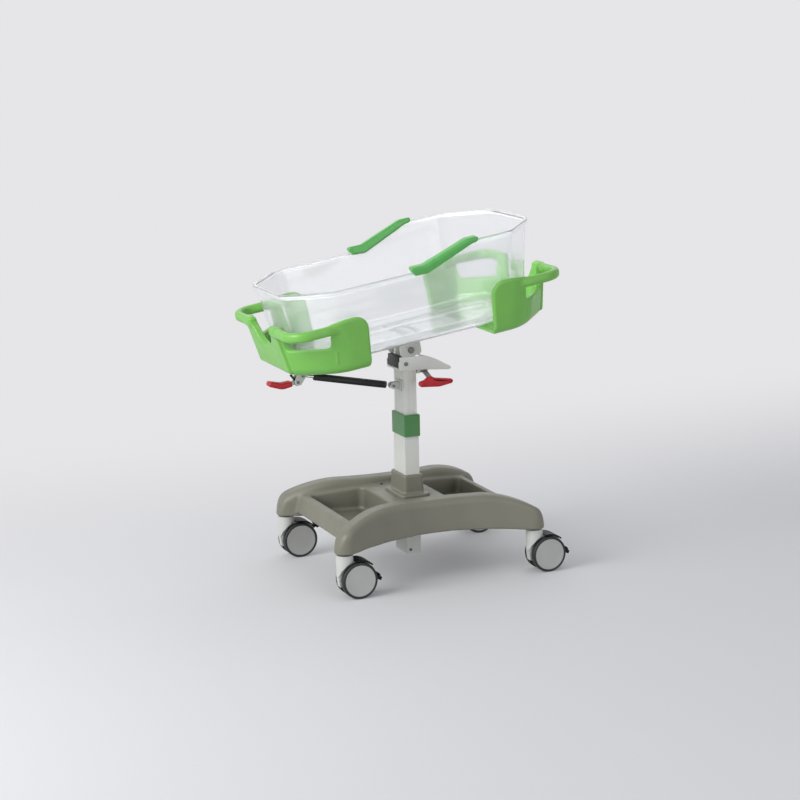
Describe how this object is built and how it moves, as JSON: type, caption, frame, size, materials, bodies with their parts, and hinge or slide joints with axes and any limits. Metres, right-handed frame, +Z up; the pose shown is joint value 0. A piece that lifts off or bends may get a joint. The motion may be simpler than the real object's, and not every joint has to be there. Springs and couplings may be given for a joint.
{
  "type": "hospital bassinet",
  "caption": "Hospital bassinet: clear tub with green end brackets, tilting on a height-adjustable column over a moulded base with storage wells and twin-wheel braked casters.",
  "frame": {"origin": "middle of the overall footprint, on the floor", "axes": "+Z up, +X from the foot end to the head end of the tub, +Y to the far side"},
  "size_m": [0.81, 0.516, 0.9739],
  "materials": {
    "base_moulding": "fine matt grain",
    "frame_steel": "satin paint",
    "bright_fasteners": "bright zinc",
    "carrier_grey": "satin paint",
    "stem_steel": "bright zinc",
    "collar_green": "semi-gloss",
    "boot_grey": "fine matt grain",
    "head_white": "semi-gloss paint",
    "bracket_green": "semi-gloss",
    "bush_white": "smooth",
    "inner_aluminium": "satin anodised",
    "guard_white": "semi-gloss",
    "spring_black": "gloss paint",
    "lever_red": "semi-gloss",
    "lever_grey": "satin paint",
    "rod_chrome": "polished",
    "outer_tube_grey": "satin paint",
    "grip_green": "semi-gloss",
    "strut_black": "gloss paint",
    "tub_clear": "clear, polished",
    "caster_black": "fine grain",
    "caster_white": "semi-gloss",
    "hub_grey": "smooth",
    "caster_tyre": "matt"
  },
  "bodies": {
    "base": {"base_cover": "base_moulding", "base_frame": "frame_steel", "base_screws": "bright_fasteners", "caster_stems": "stem_steel", "column_boot": "boot_grey", "outer_tube": "outer_tube_grey", "collar": "collar_green", "guide_bush": "bush_white", "lift_cylinder": "spring_black"},
    "lift": {"inner_tube": "inner_aluminium", "lift_rod": "rod_chrome", "column_head": "head_white", "lever_guard": "guard_white", "head_screw": "bright_fasteners", "strut_bracket": "carrier_grey", "strut_pin": "bright_fasteners"},
    "lift_release": {"lift_lever": "lever_grey", "lift_grip": "lever_red"},
    "strut_outer": {"strut_cylinder": "strut_black"},
    "strut_inner": {"strut_rod": "rod_chrome"},
    "cradle": {"carrier_frame": "carrier_grey", "pivot_bolt": "bright_fasteners", "clevis_pins": "bright_fasteners", "bracket_screws": "bright_fasteners", "tub": "tub_clear", "rim_grip_near": "grip_green", "rim_grip_far": "grip_green", "foot_bracket": "bracket_green", "head_bracket": "bracket_green"},
    "tilt_release": {"tilt_lever": "lever_grey", "tilt_grip": "lever_red", "release_link": "strut_black"},
    "near_foot_caster_swivel": {"near_foot_caster_housing": "caster_white", "near_foot_caster_guard": "caster_black", "near_foot_caster_pedal_pin": "bright_fasteners"},
    "near_foot_caster_roll": {"near_foot_caster_axle": "bright_fasteners", "near_foot_caster_hubs": "hub_grey", "near_foot_caster_tyres": "caster_tyre"},
    "near_foot_caster_brake": {"near_foot_caster_pedal": "caster_black"},
    "near_head_caster_swivel": {"near_head_caster_housing": "caster_white", "near_head_caster_guard": "caster_black", "near_head_caster_pedal_pin": "bright_fasteners"},
    "near_head_caster_roll": {"near_head_caster_axle": "bright_fasteners", "near_head_caster_hubs": "hub_grey", "near_head_caster_tyres": "caster_tyre"},
    "near_head_caster_brake": {"near_head_caster_pedal": "caster_black"},
    "far_foot_caster_swivel": {"far_foot_caster_housing": "caster_white", "far_foot_caster_guard": "caster_black", "far_foot_caster_pedal_pin": "bright_fasteners"},
    "far_foot_caster_roll": {"far_foot_caster_axle": "bright_fasteners", "far_foot_caster_hubs": "hub_grey", "far_foot_caster_tyres": "caster_tyre"},
    "far_foot_caster_brake": {"far_foot_caster_pedal": "caster_black"},
    "far_head_caster_swivel": {"far_head_caster_housing": "caster_white", "far_head_caster_guard": "caster_black", "far_head_caster_pedal_pin": "bright_fasteners"},
    "far_head_caster_roll": {"far_head_caster_axle": "bright_fasteners", "far_head_caster_hubs": "hub_grey", "far_head_caster_tyres": "caster_tyre"},
    "far_head_caster_brake": {"far_head_caster_pedal": "caster_black"}
  },
  "joints": [
    {"name": "column_lift", "type": "slide", "parent": "base", "child": "lift", "axis": [0, 0, 1], "range_m": [-0.06, 0.14]},
    {"name": "lift_lever_pull", "type": "hinge", "parent": "lift", "child": "lift_release", "pos_m": [0.06446, -0.028, 0.56], "axis": [-1, 0, 0], "range_deg": [0, 10], "stiffness_Nm_per_rad": 0.8, "springref_deg": -11.46},
    {"name": "cradle_tilt", "type": "hinge", "parent": "lift", "child": "cradle", "pos_m": [0.02046, 0, 0.621], "axis": [0, -1, 0], "range_deg": [-20.4, 3.6]},
    {"name": "strut_swing", "type": "hinge", "parent": "lift", "child": "strut_outer", "pos_m": [-0.01854, 0, 0.518], "axis": [0, -1, 0], "range_deg": [-20.8, 3.8]},
    {"name": "strut_stroke", "type": "slide", "parent": "strut_outer", "child": "strut_inner", "axis": [-0.9801, 0, 0.1985], "range_m": [-0.0075, 0.04]},
    {"name": "tilt_lever_pull", "type": "hinge", "parent": "cradle", "child": "tilt_release", "pos_m": [-0.29941, 0, 0.55557], "axis": [0, 1, 0], "range_deg": [0, 10], "stiffness_Nm_per_rad": 0.8, "springref_deg": -11.46},
    {"name": "near_foot_caster_swivel_joint", "type": "hinge", "parent": "base", "child": "near_foot_caster_swivel", "pos_m": [-0.26254, -0.227, 0.1], "axis": [0, 0, 1], "continuous": true},
    {"name": "near_foot_caster_roll_joint", "type": "hinge", "parent": "near_foot_caster_swivel", "child": "near_foot_caster_roll", "pos_m": [-0.22854, -0.227, 0.05], "axis": [0, 1, 0], "continuous": true},
    {"name": "near_foot_caster_brake_pedal", "type": "hinge", "parent": "near_foot_caster_swivel", "child": "near_foot_caster_brake", "pos_m": [-0.21054, -0.227, 0.066], "axis": [0, 1, 0], "range_deg": [-48, 0]},
    {"name": "near_head_caster_swivel_joint", "type": "hinge", "parent": "base", "child": "near_head_caster_swivel", "pos_m": [0.30346, -0.227, 0.1], "axis": [0, 0, 1], "continuous": true},
    {"name": "near_head_caster_roll_joint", "type": "hinge", "parent": "near_head_caster_swivel", "child": "near_head_caster_roll", "pos_m": [0.33746, -0.227, 0.05], "axis": [0, 1, 0], "continuous": true},
    {"name": "near_head_caster_brake_pedal", "type": "hinge", "parent": "near_head_caster_swivel", "child": "near_head_caster_brake", "pos_m": [0.35546, -0.227, 0.066], "axis": [0, 1, 0], "range_deg": [-48, 0]},
    {"name": "far_foot_caster_swivel_joint", "type": "hinge", "parent": "base", "child": "far_foot_caster_swivel", "pos_m": [-0.26254, 0.227, 0.1], "axis": [0, 0, 1], "continuous": true},
    {"name": "far_foot_caster_roll_joint", "type": "hinge", "parent": "far_foot_caster_swivel", "child": "far_foot_caster_roll", "pos_m": [-0.22854, 0.227, 0.05], "axis": [0, 1, 0], "continuous": true},
    {"name": "far_foot_caster_brake_pedal", "type": "hinge", "parent": "far_foot_caster_swivel", "child": "far_foot_caster_brake", "pos_m": [-0.21054, 0.227, 0.066], "axis": [0, 1, 0], "range_deg": [0, 48]},
    {"name": "far_head_caster_swivel_joint", "type": "hinge", "parent": "base", "child": "far_head_caster_swivel", "pos_m": [0.30346, 0.227, 0.1], "axis": [0, 0, 1], "continuous": true},
    {"name": "far_head_caster_roll_joint", "type": "hinge", "parent": "far_head_caster_swivel", "child": "far_head_caster_roll", "pos_m": [0.33746, 0.227, 0.05], "axis": [0, 1, 0], "continuous": true},
    {"name": "far_head_caster_brake_pedal", "type": "hinge", "parent": "far_head_caster_swivel", "child": "far_head_caster_brake", "pos_m": [0.35546, 0.227, 0.066], "axis": [0, 1, 0], "range_deg": [-48, 0]}
  ],
  "couplings": [
    {"joint": "strut_swing", "follows": "cradle_tilt", "ratio": 1.01},
    {"joint": "strut_stroke", "follows": "cradle_tilt", "m_per_rad": -0.1097}
  ]
}
